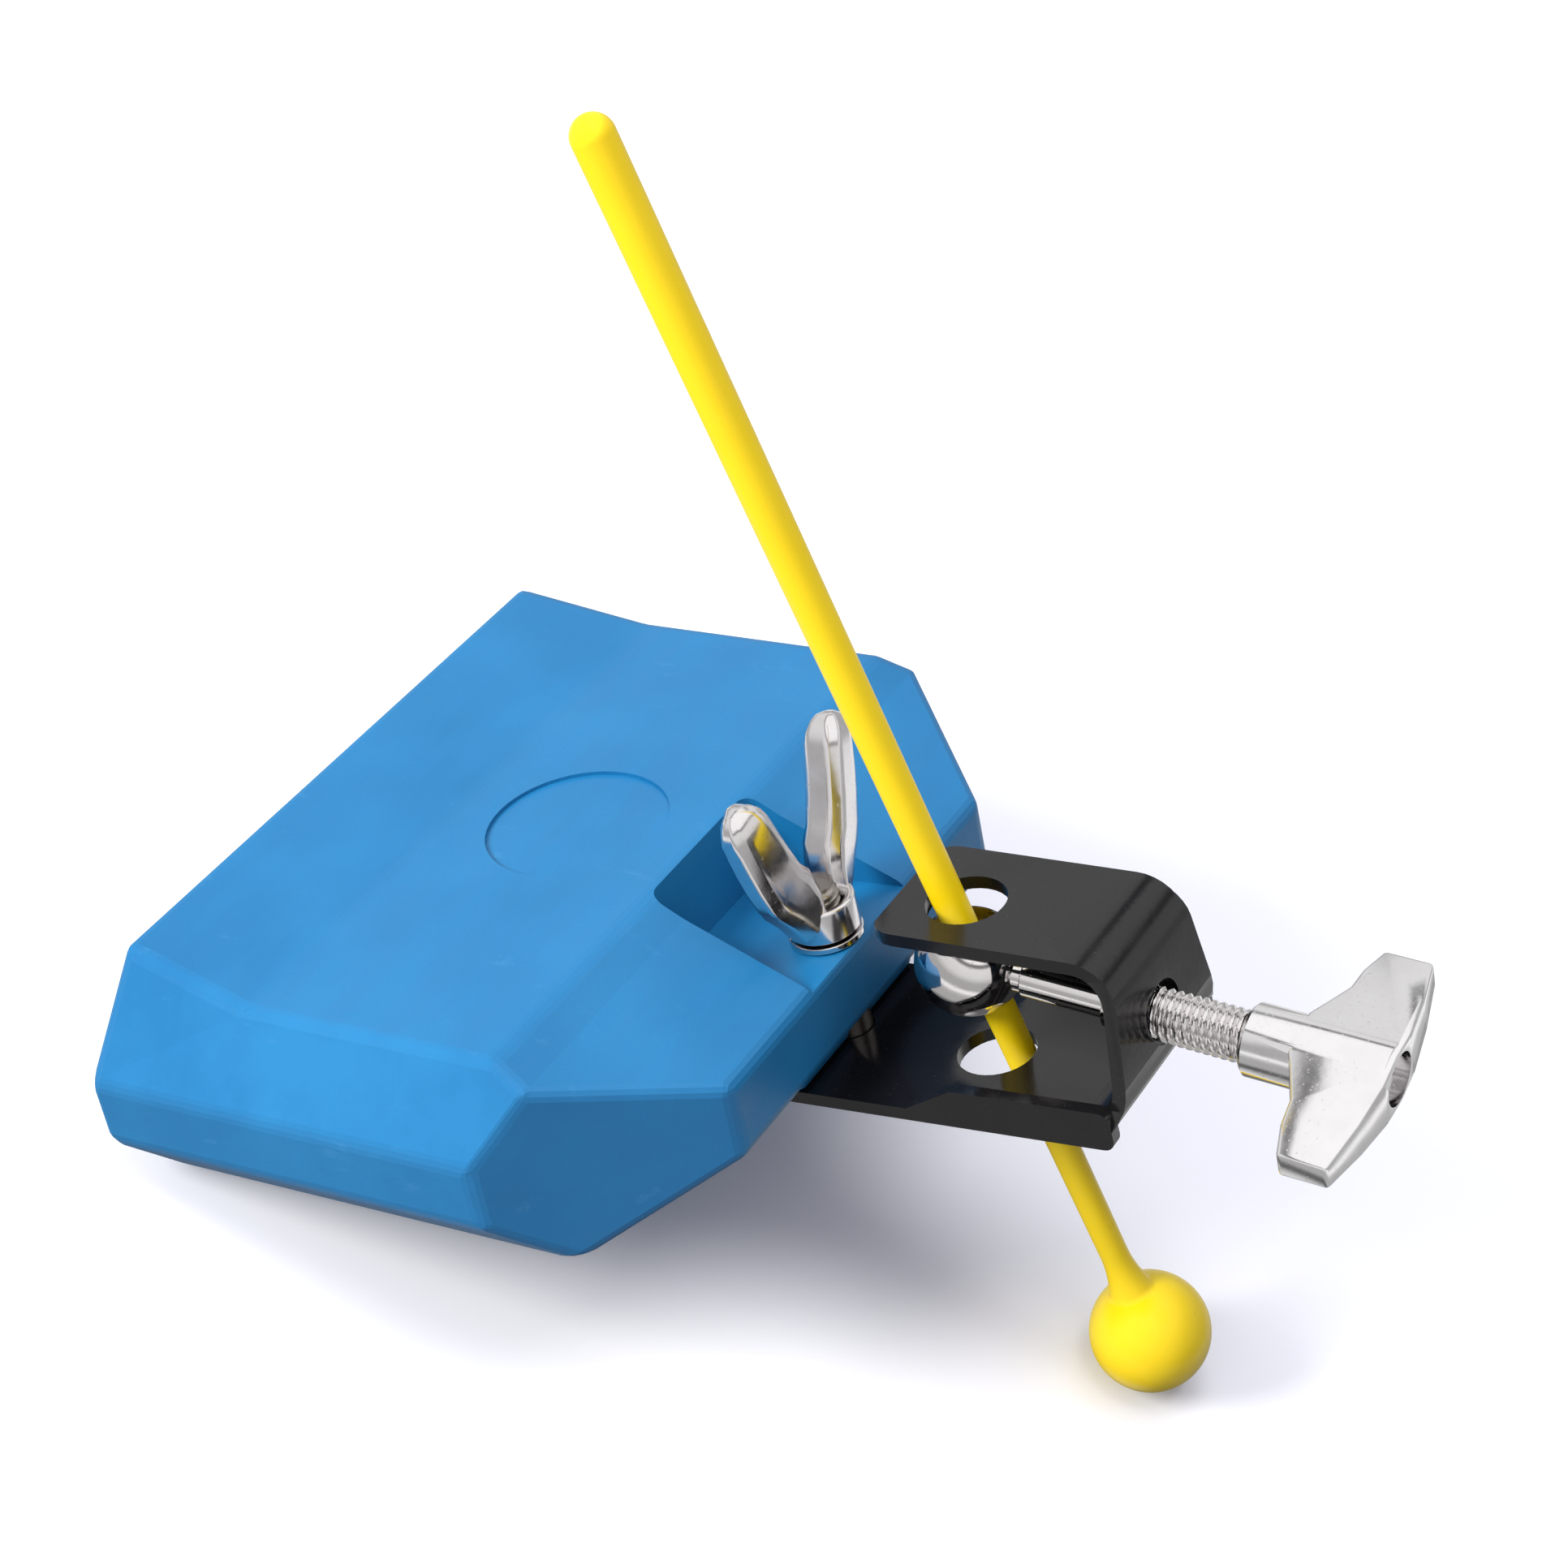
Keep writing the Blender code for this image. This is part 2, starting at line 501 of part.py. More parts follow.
def tee_nut(material):
    profile = [(0, -HUB_LENGTH), (HUB_RADIUS - CAST_CHAMFER, -HUB_LENGTH), (HUB_RADIUS, CAST_CHAMFER - HUB_LENGTH)]
    profile += [(HUB_RADIUS, -1.0), (0, -1.0)]
    nut = finish_mesh(lying(turned(profile)), "tee_nut", material, 40)
    bar = finish_mesh(prism(tee_plan(), -TEE_THICKNESS, TEE_THICKNESS, "z"), "tee_bar")
    boolean(bar, "INTERSECT", finish_mesh(prism(tee_section(), -HUB_LENGTH, 10, "x"), "tee_section"))
    bevelled(bar, TEE_EDGE_RADIUS, 2, 40)
    boolean(nut, "UNION", bar)
    bore = rod(SHANK_RADIUS + TEE_BORE_CLEARANCE, -HUB_LENGTH - 10, 10)
    boolean(nut, "DIFFERENCE", finish_mesh(lying(bore), "tee_bore"))
    nut.location.x = TEE_FACE_DISTANCE * MM
    nut.rotation_euler.x = radians(TEE_TURN)
    return nut


def stick_direction():
    """From the flange towards the ball, in the clamp's frame."""
    return (Vector(STICK_LOW) - Vector(STICK_TOP)).normalized()


def ball_centre():
    return Vector(STICK_TOP) + stick_direction() * BALL_DISTANCE


def mallet(material):
    """Ball, flared neck and tapered stick, turned about the stick's axis from the ball's centre."""
    length = BALL_DISTANCE + HANDLE_LENGTH
    join = asin(NECK_RADIUS / BALL_RADIUS)
    profile = [(0, -BALL_RADIUS)]
    for i in range(1, 17):
        a = -pi / 2 + (pi - join) * i / 16
        profile.append((BALL_RADIUS * cos(a), BALL_RADIUS * sin(a)))
    start = BALL_RADIUS * cos(join)
    for i in range(1, 5):
        share = i / 4
        radius = STICK_BALL_RADIUS + (NECK_RADIUS - STICK_BALL_RADIUS) * (1 - share) ** 2
        profile.append((radius, start + NECK_LENGTH * share))
    for i in range(5):
        a = pi / 2 * i / 5
        profile.append((STICK_END_RADIUS * cos(a), length - STICK_END_RADIUS * (1 - sin(a))))
    profile.append((0, length))
    stick = finish_mesh(turned(profile), "mallet", material, 60)
    stick.rotation_mode = "QUATERNION"
    stick.rotation_quaternion = (-stick_direction()).to_track_quat("Z", "Y")
    stick.location = ball_centre() * MM
    return stick


def tilt_angle():
    """The tip that brings the lower front edge and the ball's underside to one level."""
    ball = clamp_frame @ ball_centre()
    run = Vector((ball.x - LIP_X, ball.z + BASE_Z))
    return asin(BALL_RADIUS / run.length) - atan2(run.y, run.x)


def world_bounds(objects):
    bpy.context.view_layer.update()
    graph = bpy.context.evaluated_depsgraph_get()
    points = []
    for obj in objects:
        shaped = obj.evaluated_get(graph)
        mesh = shaped.to_mesh()
        points += [shaped.matrix_world @ vertex.co for vertex in mesh.vertices]
        shaped.to_mesh_clear()
    return [(min(p[i] for p in points), max(p[i] for p in points)) for i in range(3)]


def frame_empty(name, matrix, children, parent=None):
    empty = bpy.data.objects.new(name, None)
    bpy.context.scene.collection.objects.link(empty)
    empty.matrix_local = matrix
    empty.parent = parent
    for child in children:
        child.parent = empty
    return empty


def helpers_of(objects):
    """The cutters and forms that the given objects' modifiers use, with their own helpers."""
    found = []
    for obj in objects:
        used = [m.object for m in obj.modifiers if m.type == "BOOLEAN"]
        found += used + helpers_of(used)
    return found


def metres(matrix):
    placed = matrix.copy()
    placed.translation *= MM
    return placed


def main():
    clear_scene()
    blue = plain_material("blue_plastic", (0.02, 0.24, 0.62), 0.45, 0.0)
    black = plain_material("black_paint", (0.012, 0.012, 0.014), 0.2, 0.0)
    chrome = plain_material("chrome", (0.75, 0.75, 0.76), 0.12, 1.0)
    cast = plain_material("polished_casting", (0.8, 0.8, 0.8), 0.2, 1.0)
    yellow = plain_material("yellow_plastic", (0.88, 0.72, 0.02), 0.35, 0.0)

    block = block_body(blue)
    clamped = [clamp_bracket(black), mounting_bolt(chrome), flat_washer(chrome), wing_nut(chrome)]
    lined = [eye_bolt(chrome), tee_nut(cast)]
    stick = mallet(yellow)

    base = frame_empty("assembly", Matrix(), [block, *helpers_of([block])])
    clamp = frame_empty("clamp", metres(clamp_frame), [stick], base)
    line = Matrix.Translation((LINE_X, LINE_Y, LINE_Z)) @ Matrix.Rotation(radians(LINE_SAG), 4, "Y")
    frame_empty("bolt_line", metres(line), lined, clamp)
    for obj in clamped:
        obj.parent = clamp
        for tool in helpers_of([obj]):
            tool.parent = obj if obj.location.length > 0 else clamp
    for obj in lined:
        for tool in helpers_of([obj]):
            tool.parent = obj
    pieces = [block, *clamped, *lined, stick]
    base.rotation_euler = (0, -tilt_angle(), 0)
    (x0, x1), (y0, y1), (z0, _) = world_bounds(pieces)
    base.location = (-(x0 + x1) / 2, -(y0 + y1) / 2, -z0)


main()
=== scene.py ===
"""Looks of the jam block: moulded blue plastic, black enamel, plated hardware and a yellow mallet.

Lengths are in millimetres in four frames: the block's (X to the rear, Z up), the clamp's (Z up the
mounting bolt), the eye bolt's line (X outwards) and the stick's (Z from the ball to the handle's end).
The last step of each piece turns them into metres.
"""

from math import asin, cos, pi, radians, sin, tau

import bmesh
import bpy
from mathutils import Matrix, Vector


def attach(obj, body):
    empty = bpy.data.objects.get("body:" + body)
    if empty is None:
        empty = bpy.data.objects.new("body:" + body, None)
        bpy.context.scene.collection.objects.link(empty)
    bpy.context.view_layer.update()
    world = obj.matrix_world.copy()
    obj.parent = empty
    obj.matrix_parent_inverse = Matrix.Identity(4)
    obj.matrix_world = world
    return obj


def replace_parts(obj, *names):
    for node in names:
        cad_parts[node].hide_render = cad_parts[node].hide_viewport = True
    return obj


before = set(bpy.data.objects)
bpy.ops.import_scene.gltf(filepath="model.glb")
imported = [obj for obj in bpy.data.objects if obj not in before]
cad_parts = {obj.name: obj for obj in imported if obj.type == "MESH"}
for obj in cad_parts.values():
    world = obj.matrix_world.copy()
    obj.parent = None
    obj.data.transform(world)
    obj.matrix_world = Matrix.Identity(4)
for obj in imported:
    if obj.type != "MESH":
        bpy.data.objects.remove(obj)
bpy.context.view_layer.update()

MM = 0.001

# Places repeated from the part's own sizes
BLOCK_PLACE, BLOCK_TIP = (2.019, 0, 61.422), -25.6179
SEAT_PLACE, SEAT_TILT = (1.3, 0, 6.7), 3.5
LINE_PLACE, LINE_SAG = (64, -0.4, -7.2), 9.5

# Camera in the block's frame, from the photograph's solved view
CAMERA_PLACE = (323.5, -440.4, 370.9)
CAMERA_RIGHT, CAMERA_DOWN = (0.851, 0.4948, -0.176), (0.1358, -0.531, -0.8364)
CAMERA_LENS, CAMERA_SENSOR = 84.34, 36.0
CAMERA_NEAR = 0.02  # metres

# Mounting bolt
BOLT_RADIUS, BOLT_END_Z, BOLT_THREAD_START_Z = 3.95, 11.0, -12.0
BOLT_PITCH, BOLT_THREAD_DEPTH = 1.411, 0.75
BOLT_HEAD_RADIUS, BOLT_HEAD_HEIGHT, BOLT_HEAD_RIM, BOLT_SEAT_Z = 8.5, 4.2, 1.2, -22.7

# Shares of a pitch, out from the middle of a thread's root: the root's flat, then the flank
THREAD_ROOT, THREAD_FLANK = 0.07, 0.28

# Wing nut. Each station of a wing: distance from its root, reach to its inner and outer side, and the
# share of its section that is left there
NUT_RADIUS, NUT_BORE_RADIUS, NUT_LOW_Z, NUT_RIM_Z = 6.7, 4.1, 1.8, 8.4
NUT_DISH_RADIUS, NUT_DISH_Z, NUT_DISH_LIP, NUT_EDGE = 5.3, 6.6, 0.1, 0.6
WING_ROOT, WING_TIP = (5.6, 8.6), (14.9, 31.2)
WING_STATIONS = (
    (-3.0, 3.0, 4.2, 1), (2.5, 4.9, 5.2, 1), (7.0, 5.3, 6.5, 1), (10.0, 4.4, 6.9, 0.98),
    (15.0, 4.4, 6.8, 0.97), (20.0, 4.7, 6.3, 0.96), (24.4, 5.0, 5.7, 0.94), (26.8, 5.0, 5.6, 0.87),
    (28.6, 5.0, 5.6, 0.7), (29.8, 5.0, 5.6, 0.46), (30.35, 5.0, 5.6, 0.16),
)
# Half width of a side's flat, half width where its chamfer meets the broad face, and the chamfer's depth
WING_INNER_SIDE, WING_OUTER_SIDE = (2.5, 4.2, 2.2), (1.6, 3.1, 2.6)
CORNER_CUT, CORNER_PASSES = 0.11, 2

# Eye bolt
EYE_DISTANCE, EYE_RADIUS, EYE_BORE_RADIUS, EYE_HALF_HEIGHT = 35.3, 9.8, 6.9, 6.6
BORE_CHAMFER_WIDTH, BORE_CHAMFER_DEPTH = 0.12, 0.35
NECK_START = EYE_BORE_RADIUS + 0.9 - EYE_DISTANCE  # just inside the ball
SHANK_RADIUS, SHANK_END = 4.7, 41.5
THREAD_START, THREAD_PITCH, THREAD_DEPTH = -8.0, 1.5875, 0.7
NECK_RADIUS, NECK_END, COLLAR_RADIUS, COLLAR_ROUND = 3.0, -24.4, 3.5, 0.4

# Mallet
STICK_TOP, STICK_LOW = (28.4, -1.0, 12.1), (33.0, 1.8, -19.9)
BALL_DISTANCE, HANDLE_LENGTH, BALL_RADIUS = 102.3, 153.3, 11.35
STICK_BALL_RADIUS, STICK_END_RADIUS = 2.65, 3.8
BALL_NECK_LENGTH, BALL_NECK_RADIUS = 9.0, 4.2

# Rounding given to the solids' cut edges. Edges of less than the first angle, in degrees, stay as they
# are, and facets that differ by less than the second are joined
ENAMEL_EDGE, CASTING_EDGE, WASHER_EDGE = 1.05, 0.3, 0.2
ROUNDED_ANGLE, FLAT_ANGLE = 32, 0.6

# Studio, in metres. The floor fades between two shares of its radius. Each tone is a grey for a
# direction, from -1 away from a side to 1 towards it
FLOOR_RADIUS, FLOOR_FADE = 2.2, (0.25, 0.7)
LIT_POINT = (0, 0, 0.07)
FILL_SIDE, FILL_STRENGTH, FILL_TINT = (-0.5, -0.52, 0.69), 0.9, (0.92, 0.93, 1.1)
FILL_TONES = ((-1.0, 0.04), (-0.4, 0.08), (0.3, 0.75), (1.0, 1.0))
REFLECTED_TONES = (
    (-1.0, 0.85), (-0.94, 0.15), (-0.88, 0.15), (-0.8, 0.5), (-0.6, 0.5), (-0.5, 0.62),
    (-0.42, 1.1), (-0.35, 1.1), (-0.26, 0.5), (0.0, 0.5), (0.2, 0.85), (0.5, 0.95),
    (0.57, 0.22), (0.62, 0.22), (0.67, 1.2), (1.0, 1.2),
)

block = Matrix.Translation(Vector(BLOCK_PLACE) * MM) @ Matrix.Rotation(radians(BLOCK_TIP), 4, "Y")
clamp = block @ Matrix.Translation(Vector(SEAT_PLACE) * MM) @ Matrix.Rotation(-radians(SEAT_TILT), 4, "Y")
line = clamp @ Matrix.Translation(Vector(LINE_PLACE) * MM) @ Matrix.Rotation(radians(LINE_SAG), 4, "Y")
stick_run = (Vector(STICK_LOW) - Vector(STICK_TOP)).normalized()
ball = Matrix.Translation((Vector(STICK_TOP) + stick_run * BALL_DISTANCE) * MM)
stick_frame = clamp @ ball @ (-stick_run).to_track_quat("Z", "Y").to_matrix().to_4x4()


class Value:
    """A socket of a finish, whose arithmetic adds Math nodes."""

    def __init__(self, finish, socket):
        self.finish = finish
        self.socket = socket

    def maths(self, operation, *values):
        return self.finish.node("Math", {"operation": operation}, dict(enumerate(values)))

    def __add__(self, other):
        return self.maths("ADD", self, other)

    def __sub__(self, other):
        return self.maths("SUBTRACT", self, other)

    def __mul__(self, other):
        return self.maths("MULTIPLY", self, other)


class Finish:
    """A Principled material whose colour, roughness and relief come from nodes."""

    def __init__(self, name, **constants):
        self.material = bpy.data.materials.new(name)
        self.material.use_nodes = True
        self.nodes = self.material.node_tree.nodes
        self.links = self.material.node_tree.links
        self.shader = self.nodes["Principled BSDF"]
        for label, value in constants.items():
            self.shader.inputs[label.replace("_", " ")].default_value = value
        self.place = self.node("TexCoord", output="Object")

    def feed(self, socket, value):
        if isinstance(value, Value):
            self.links.new(value.socket, socket)
        else:
            socket.default_value = value

    def node(self, kind, settings=None, values=None, output=0):
        """Adds a shader node: its settings and ramp stops first, then its sockets' values or links."""
        node = self.nodes.new("ShaderNode" + kind)
        for name, setting in (settings or {}).items():
            if name == "stops":
                while len(node.color_ramp.elements) < len(setting):
                    node.color_ramp.elements.new(0.5)
                for element, (position, colour) in zip(node.color_ramp.elements, setting):
                    element.position = position
                    element.color = colour
            else:
                setattr(node, name, setting)
        for socket, value in (values or {}).items():
            self.feed(node.inputs[socket], value)
        return Value(self, node.outputs[output])

    def noise(self, size_mm, detail, roughness=0.5, stretch=None, axes=None):
        """Noise with grains about size_mm across, which may be drawn out along the axes of a frame."""
        place = self.place
        if stretch:
            values = {"Vector": place, "Rotation": tuple(axes.to_euler()), "Scale": stretch}
            place = self.node("Mapping", {"vector_type": "TEXTURE"}, values)
        values = {"Vector": place, "Scale": 1 / (size_mm * MM), "Detail": detail, "Roughness": roughness}
        return self.node("TexNoise", None, values)

    def ramp(self, value, low, high, start=0.0, end=1.0):
        """The value's span from low to high, spread over start to end and held outside it."""
        values = {"Value": value, "From Min": low, "From Max": high, "To Min": start, "To Max": end}
        return self.node("MapRange", {"clamp": True}, values)

    def blend(self, share, first, second):
        """A colour between two; 6 and 7 are the Mix node's colour sockets."""
        settings = {"data_type": "RGBA"}
        return self.node("Mix", settings, {"Factor": share, 6: first, 7: second}, output=2)

    def wear(self, colour, roughness, relief, depth):
        """Feeds the shader; relief is a height whose full span is depth millimetres."""
        self.feed(self.shader.inputs["Base Color"], colour)
        self.feed(self.shader.inputs["Roughness"], roughness)
        values = {"Height": relief, "Distance": depth * MM, "Strength": 1.0}
        self.feed(self.shader.inputs["Normal"], self.node("Bump", None, values))
        return self.material


def moulded_blue():
    """Satin moulded plastic: cloudy flow marks, a fine moulded grain and small rubbed patches."""
    finish = Finish("moulded_blue", IOR=1.48)
    clouds = finish.noise(38, 2.0)
    flow = finish.noise(7, 4.0, 0.6, (1.0, 4.0, 1.0), block)
    grain = finish.noise(0.7, 2.0)
    rubs = finish.ramp(finish.noise(5, 6.0, 0.7, (2.8, 1.0, 1.0), block), 0.62, 0.74)
    tint = finish.ramp(clouds * 0.65 + flow * 0.35, 0.36, 0.64)
    body = finish.blend(tint, (0.007, 0.135, 0.315, 1), (0.012, 0.165, 0.365, 1))
    colour = finish.blend(rubs * 0.22, body, (0.09, 0.29, 0.50, 1))
    roughness = finish.ramp(flow * 0.7 + grain * 0.3, 0.35, 0.65, 0.36, 0.5) + rubs * 0.08
    return finish.wear(colour, roughness, grain * 0.55 + flow * 0.45, 0.05)


def black_enamel():
    """Glossy paint on steel: slight orange peel, dust and hazy handling marks."""
    finish = Finish("black_enamel", IOR=1.43)
    peel = finish.noise(1.6, 1.0)
    haze = finish.noise(14, 4.0, 0.6)
    dust = finish.ramp(finish.noise(0.45, 1.0), 0.71, 0.78)
    base = finish.blend(haze, (0.004, 0.004, 0.005, 1), (0.010, 0.009, 0.009, 1))
    colour = finish.blend(dust * 0.25, base, (0.09, 0.085, 0.08, 1))
    roughness = finish.ramp(haze, 0.35, 0.7, 0.09, 0.22) + dust * 0.2
    return finish.wear(colour, roughness, peel, 0.012)


def plated(name, low, high, smooth, rough, pits):
    """Bright plating between two tones, with smudges and shallow pits of the metal beneath."""
    finish = Finish(name, Metallic=1.0)
    smudge = finish.noise(6, 4.0, 0.6)
    waves = finish.noise(2.4, 2.0)
    pitted = finish.ramp(finish.noise(0.5, 2.0), 0.66, 0.76)
    colour = finish.blend(smudge, low, high)
    roughness = finish.ramp(smudge, 0.35, 0.7, smooth, rough) + pitted * 0.1
    return finish.wear(colour, roughness, waves * 0.7 - pitted * pits, 0.02)


def moulded_yellow():
    """Glossy moulded plastic, slightly translucent, with sink marks and fine drag lines."""
    finish = Finish(
        "moulded_yellow",
        IOR=1.48,
        Subsurface_Weight=0.12,
        Subsurface_Radius=(1.0, 0.6, 0.1),
        Subsurface_Scale=0.003,
    )
    clouds = finish.noise(22, 2.0)
    drag = finish.noise(1.4, 3.0, 0.6, (1.0, 1.0, 8.0), stick_frame)
    scuffs = finish.ramp(finish.noise(3, 6.0, 0.7), 0.66, 0.76)
    body = finish.blend(clouds, (0.90, 0.63, 0.003, 1), (0.95, 0.70, 0.006, 1))
    colour = finish.blend(scuffs * 0.2, body, (0.95, 0.86, 0.25, 1))
    roughness = finish.ramp(drag, 0.3, 0.7, 0.27, 0.4) + scuffs * 0.1
    return finish.wear(colour, roughness, drag, 0.02)


def ring_mesh(bm, profile, steps):
    """Turns (radius, height) points about Z into closed bands; a zero radius becomes one point."""
    rings = []
    for radius, height in profile:
        if radius == 0:
            rings.append([bm.verts.new((0, 0, height))])
        else:
            turns = [tau * i / steps for i in range(steps)]
            rings.append([bm.verts.new((radius * cos(a), radius * sin(a), height)) for a in turns])
    for low, high in zip(rings, rings[1:]):
        for i in range(steps):
            j = (i + 1) % steps
            corners = [low[i % len(low)], low[j % len(low)], high[j % len(high)], high[i % len(high)]]
            bm.faces.new(list(dict.fromkeys(corners)))


def skin(bm, rings):
    """Joins rings of equal count into a closed shell."""
    for low, high in zip(rings, rings[1:]):
        for i in range(len(low)):
            j = (i + 1) % len(low)
            bm.faces.new((low[i], low[j], high[j], high[i]))
    bm.faces.new(reversed(rings[0]))
    bm.faces.new(rings[-1])


def softened(points):
    """A closed outline whose corners are cut back again and again, so that they turn round."""
    for _ in range(CORNER_PASSES):
        following = points[1:] + points[:1]
        points = [a.lerp(b, t) for a, b in zip(points, following) for t in (CORNER_CUT, 1 - CORNER_CUT)]
    return points


def thread_mesh(bm, radius, depth, pitch, start, end, steps=56, rows=10):
    """A right-handed thread about Z: flat crests and roots, straight flanks and a tapered end."""
    count = round((end - start) / pitch * rows)
    rings = []
    for k in range(count + 1):
        height = start + (end - start) * k / count
        lead = min(1.0, (end - height) / pitch)
        ring = []
        for i in range(steps):
            phase = (height / pitch - i / steps) % 1.0
            rise = min(max((abs(phase - 0.5) - THREAD_ROOT) / THREAD_FLANK, 0.0), 1.0)
            reach = radius - depth * (1 - rise * lead)
            angle = tau * i / steps
            ring.append(bm.verts.new((reach * cos(angle), reach * sin(angle), height)))
        rings.append(ring)
    skin(bm, rings)


def piece(name, bm, place, material, body, smooth_angle=35.0):
    """Makes a bmesh in millimetres, given in a frame, into an object that rides on a body."""
    bmesh.ops.recalc_face_normals(bm, faces=bm.faces)
    bmesh.ops.scale(bm, vec=(MM, MM, MM), verts=bm.verts)
    bmesh.ops.transform(bm, matrix=place, verts=bm.verts)
    mesh = bpy.data.meshes.new(name)
    bm.to_mesh(mesh)
    bm.free()
    mesh.shade_smooth()
    mesh.set_sharp_from_angle(angle=radians(smooth_angle))
    mesh.materials.append(material)
    obj = bpy.data.objects.new(name, mesh)
    bpy.context.scene.collection.objects.link(obj)
    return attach(obj, body)


def rounded(node, name, width, segments, material, body):
    """A copy of a solid that stands for it, with its cut edges rounded to a width in millimetres."""
    bm = bmesh.new()
    bm.from_mesh(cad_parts[node].data)
    bmesh.ops.remove_doubles(bm, verts=bm.verts, dist=1e-6)
    bmesh.ops.dissolve_limit(bm, angle_limit=radians(FLAT_ANGLE), verts=bm.verts, edges=bm.edges)
    bmesh.ops.scale(bm, vec=(1 / MM,) * 3, verts=bm.verts)
    obj = piece(name, bm, Matrix(), material, body)
    bevel = obj.modifiers.new("Rounded edges", "BEVEL")
    bevel.width = width * MM
    bevel.segments = segments
    bevel.limit_method = "ANGLE"
    bevel.angle_limit = radians(ROUNDED_ANGLE)
    bevel.harden_normals = True
    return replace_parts(obj, node)


def dress_block(material):
    """The block keeps its solid, which has its rounded edges already."""
    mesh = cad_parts["block_body"].data
    mesh.materials.clear()
    mesh.materials.append(material)


def mounting_bolt(material):
    """Round head under the arm, and a shank threaded from inside the block up to its end."""
    bm = bmesh.new()
    profile = [(0, BOLT_SEAT_Z - BOLT_HEAD_HEIGHT)]
    crown = BOLT_HEAD_HEIGHT - BOLT_HEAD_RIM
    for i in range(1, 13):
        a = pi / 2 * i / 12
        profile.append((BOLT_HEAD_RADIUS * sin(a), BOLT_SEAT_Z - BOLT_HEAD_RIM - crown * cos(a)))
    profile += [(BOLT_HEAD_RADIUS, BOLT_SEAT_Z), (BOLT_RADIUS, BOLT_SEAT_Z)]
    profile += [(BOLT_RADIUS, BOLT_THREAD_START_Z), (0, BOLT_THREAD_START_Z)]
    ring_mesh(bm, profile, steps=64)
    thread_mesh(bm, BOLT_RADIUS, BOLT_THREAD_DEPTH, BOLT_PITCH, BOLT_THREAD_START_Z, BOLT_END_Z)
    bolt = piece("mounting_bolt_threaded", bm, clamp, material, "clamped_block")
    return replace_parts(bolt, "mounting_bolt")


def wing_nut(material):
    """Hub with a dished top and two chamfered wings that swell outwards and end in domes."""
    bm = bmesh.new()
    rim = NUT_RADIUS - NUT_EDGE
    profile = [(NUT_BORE_RADIUS, NUT_LOW_Z), (rim, NUT_LOW_Z), (NUT_RADIUS, NUT_LOW_Z + NUT_EDGE)]
    for i in range(5):
        a = pi / 2 * i / 4
        profile.append((rim + NUT_EDGE * cos(a), NUT_RIM_Z - NUT_EDGE * (1 - sin(a))))
    profile += [(NUT_DISH_RADIUS, NUT_RIM_Z - NUT_DISH_LIP), (NUT_BORE_RADIUS, NUT_DISH_Z), profile[0]]
    ring_mesh(bm, profile, steps=72)
    bmesh.ops.remove_doubles(bm, verts=bm.verts, dist=1e-4)
    root = Vector(WING_ROOT)
    run = (Vector(WING_TIP) - root).normalized()
    outward = Vector((run.y, -run.x))
    inner_flat, inner_face, inner_cut = WING_INNER_SIDE
    outer_flat, outer_face, outer_cut = WING_OUTER_SIDE
    for side in (1, -1):
        rings = []
        for distance, inner, outer, share in WING_STATIONS:
            half = [(inner_flat, -inner), (inner_face, inner_cut - inner)]
            half += [(outer_face, outer - outer_cut), (outer_flat, outer)]
            whole = half + [(-x, reach) for x, reach in reversed(half)]
            ring = []
            for x, reach in softened([Vector(point) * share for point in whole]):
                place = root + run * distance + outward * reach
                ring.append(bm.verts.new((x, side * place.x, place.y)))
            rings.append(ring)
        skin(bm, rings)
    nut = piece("wing_nut_casting", bm, clamp, material, "wing_nut", 50)
    nut.modifiers.new("Even faces", "WEIGHTED_NORMAL").keep_sharp = True
    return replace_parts(nut, "wing_nut")


def eye_bolt(material):
    """Polished ball with its upright bore, grooved collar and a long right-handed thread."""
    upright = line @ Matrix.Translation((-EYE_DISTANCE * MM, 0, 0))
    bm = bmesh.new()
    latitude = asin(EYE_HALF_HEIGHT / EYE_RADIUS)
    rim, rim_radius = EYE_HALF_HEIGHT - BORE_CHAMFER_DEPTH, EYE_BORE_RADIUS + BORE_CHAMFER_WIDTH
    profile = []
    for i in range(33):
        a = latitude * (i / 16 - 1)
        profile.append((EYE_RADIUS * cos(a), EYE_RADIUS * sin(a)))
    profile += [(rim_radius, EYE_HALF_HEIGHT), (EYE_BORE_RADIUS, rim)]
    profile += [(EYE_BORE_RADIUS, -rim), (rim_radius, -EYE_HALF_HEIGHT), profile[0]]
    ring_mesh(bm, profile, steps=96)
    bmesh.ops.remove_doubles(bm, verts=bm.verts, dist=1e-4)
    eye = piece("eye_bolt_ball", bm, upright, material, "eye_bolt", 40)
    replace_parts(eye, "eye_bolt")

    along = line @ Matrix.Rotation(pi / 2, 4, "Y")
    profile = [(0, NECK_START), (NECK_RADIUS, NECK_START), (NECK_RADIUS, NECK_END)]
    profile += [(COLLAR_RADIUS - COLLAR_ROUND, NECK_END), (COLLAR_RADIUS, NECK_END + COLLAR_ROUND)]
    profile += [(COLLAR_RADIUS, THREAD_START), (0, THREAD_START)]
    bm = bmesh.new()
    ring_mesh(bm, profile, steps=64)
    thread_mesh(bm, SHANK_RADIUS, THREAD_DEPTH, THREAD_PITCH, THREAD_START, SHANK_END)
    shank = piece("eye_bolt_shank", bm, along, material, "eye_bolt", 30)


